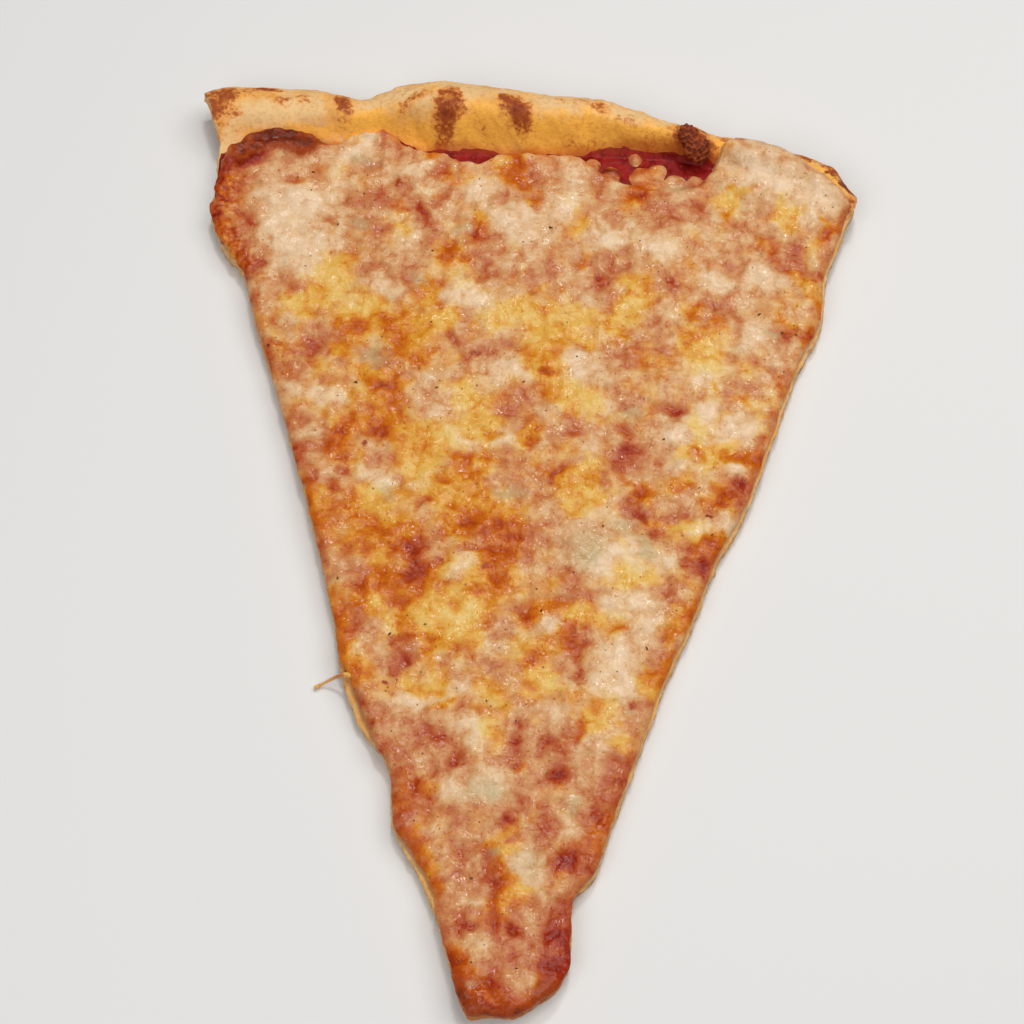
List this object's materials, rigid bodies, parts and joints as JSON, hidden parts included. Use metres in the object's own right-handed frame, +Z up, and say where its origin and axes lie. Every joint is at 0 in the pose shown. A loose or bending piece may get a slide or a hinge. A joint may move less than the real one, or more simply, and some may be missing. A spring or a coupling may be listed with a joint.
{
  "type": "cheese pizza slice",
  "caption": "Long thin-crust slice of cheese pizza with a puffed outer rim, a thin layer of tomato sauce and a sheet of browned melted cheese.",
  "frame": {"origin": "under the middle of the slice's footprint, on the table", "axes": "+Z up, +Y from the tip to the outer rim, +X to the right when seen from above with the rim at the far side"},
  "size_m": [0.178, 0.2504, 0.0169],
  "materials": {
    "dough": "baked, matt, with toasted spots",
    "tomato_sauce": "moist",
    "melted_cheese": "oily, browned in patches"
  },
  "bodies": {
    "root": {"dough": "dough", "tomato_sauce": "tomato_sauce", "melted_cheese": "melted_cheese"}
  },
  "joints": []
}
